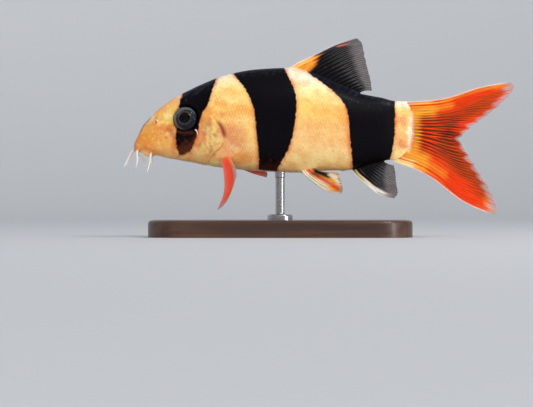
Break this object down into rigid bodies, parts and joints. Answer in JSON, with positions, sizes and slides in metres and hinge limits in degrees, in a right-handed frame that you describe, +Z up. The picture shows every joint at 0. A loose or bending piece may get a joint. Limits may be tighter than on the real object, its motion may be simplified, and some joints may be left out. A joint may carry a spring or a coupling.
{
  "type": "clown loach, still model",
  "caption": "Life-size still model of a young clown loach swimming, banded gold and black with orange fins, held over a flat base by a short rod.",
  "frame": {"origin": "centre of the flat underside of the stand's base, straight below the rod", "axes": "+Z up from the base, -X the way the fish looks, +X towards its tail, -Y towards its left side"},
  "size_m": [0.0929, 0.034, 0.0472],
  "materials": {
    "skin": "moist scaled skin, gold with black bands",
    "eye": "glassy dark eye with a thin gold ring",
    "fin_dark": "black fin, grey and translucent at the margin",
    "fin_orange": "orange-red translucent fin with pale edges",
    "barbel": "pale soft skin",
    "stand_wood": "dark stained satin",
    "stand_steel": "brushed"
  },
  "bodies": {
    "root": {"head": "skin", "torso": "skin", "tail_stalk": "skin", "eye_left": "eye", "eye_right": "eye", "dorsal_fin": "fin_dark", "anal_fin": "fin_dark", "caudal_fin_upper": "fin_orange", "caudal_fin_lower": "fin_orange", "pectoral_fin_left": "fin_orange", "pectoral_fin_right": "fin_orange", "pelvic_fin_left": "fin_orange", "pelvic_fin_right": "fin_orange", "barbel_rostral_inner_left": "barbel", "barbel_rostral_inner_right": "barbel", "barbel_rostral_outer_left": "barbel", "barbel_rostral_outer_right": "barbel", "barbel_maxillary_left": "barbel", "barbel_maxillary_right": "barbel", "barbel_mandibular_left": "barbel", "barbel_mandibular_right": "barbel", "stand_base": "stand_wood", "stand_rod": "stand_steel"}
  },
  "joints": []
}
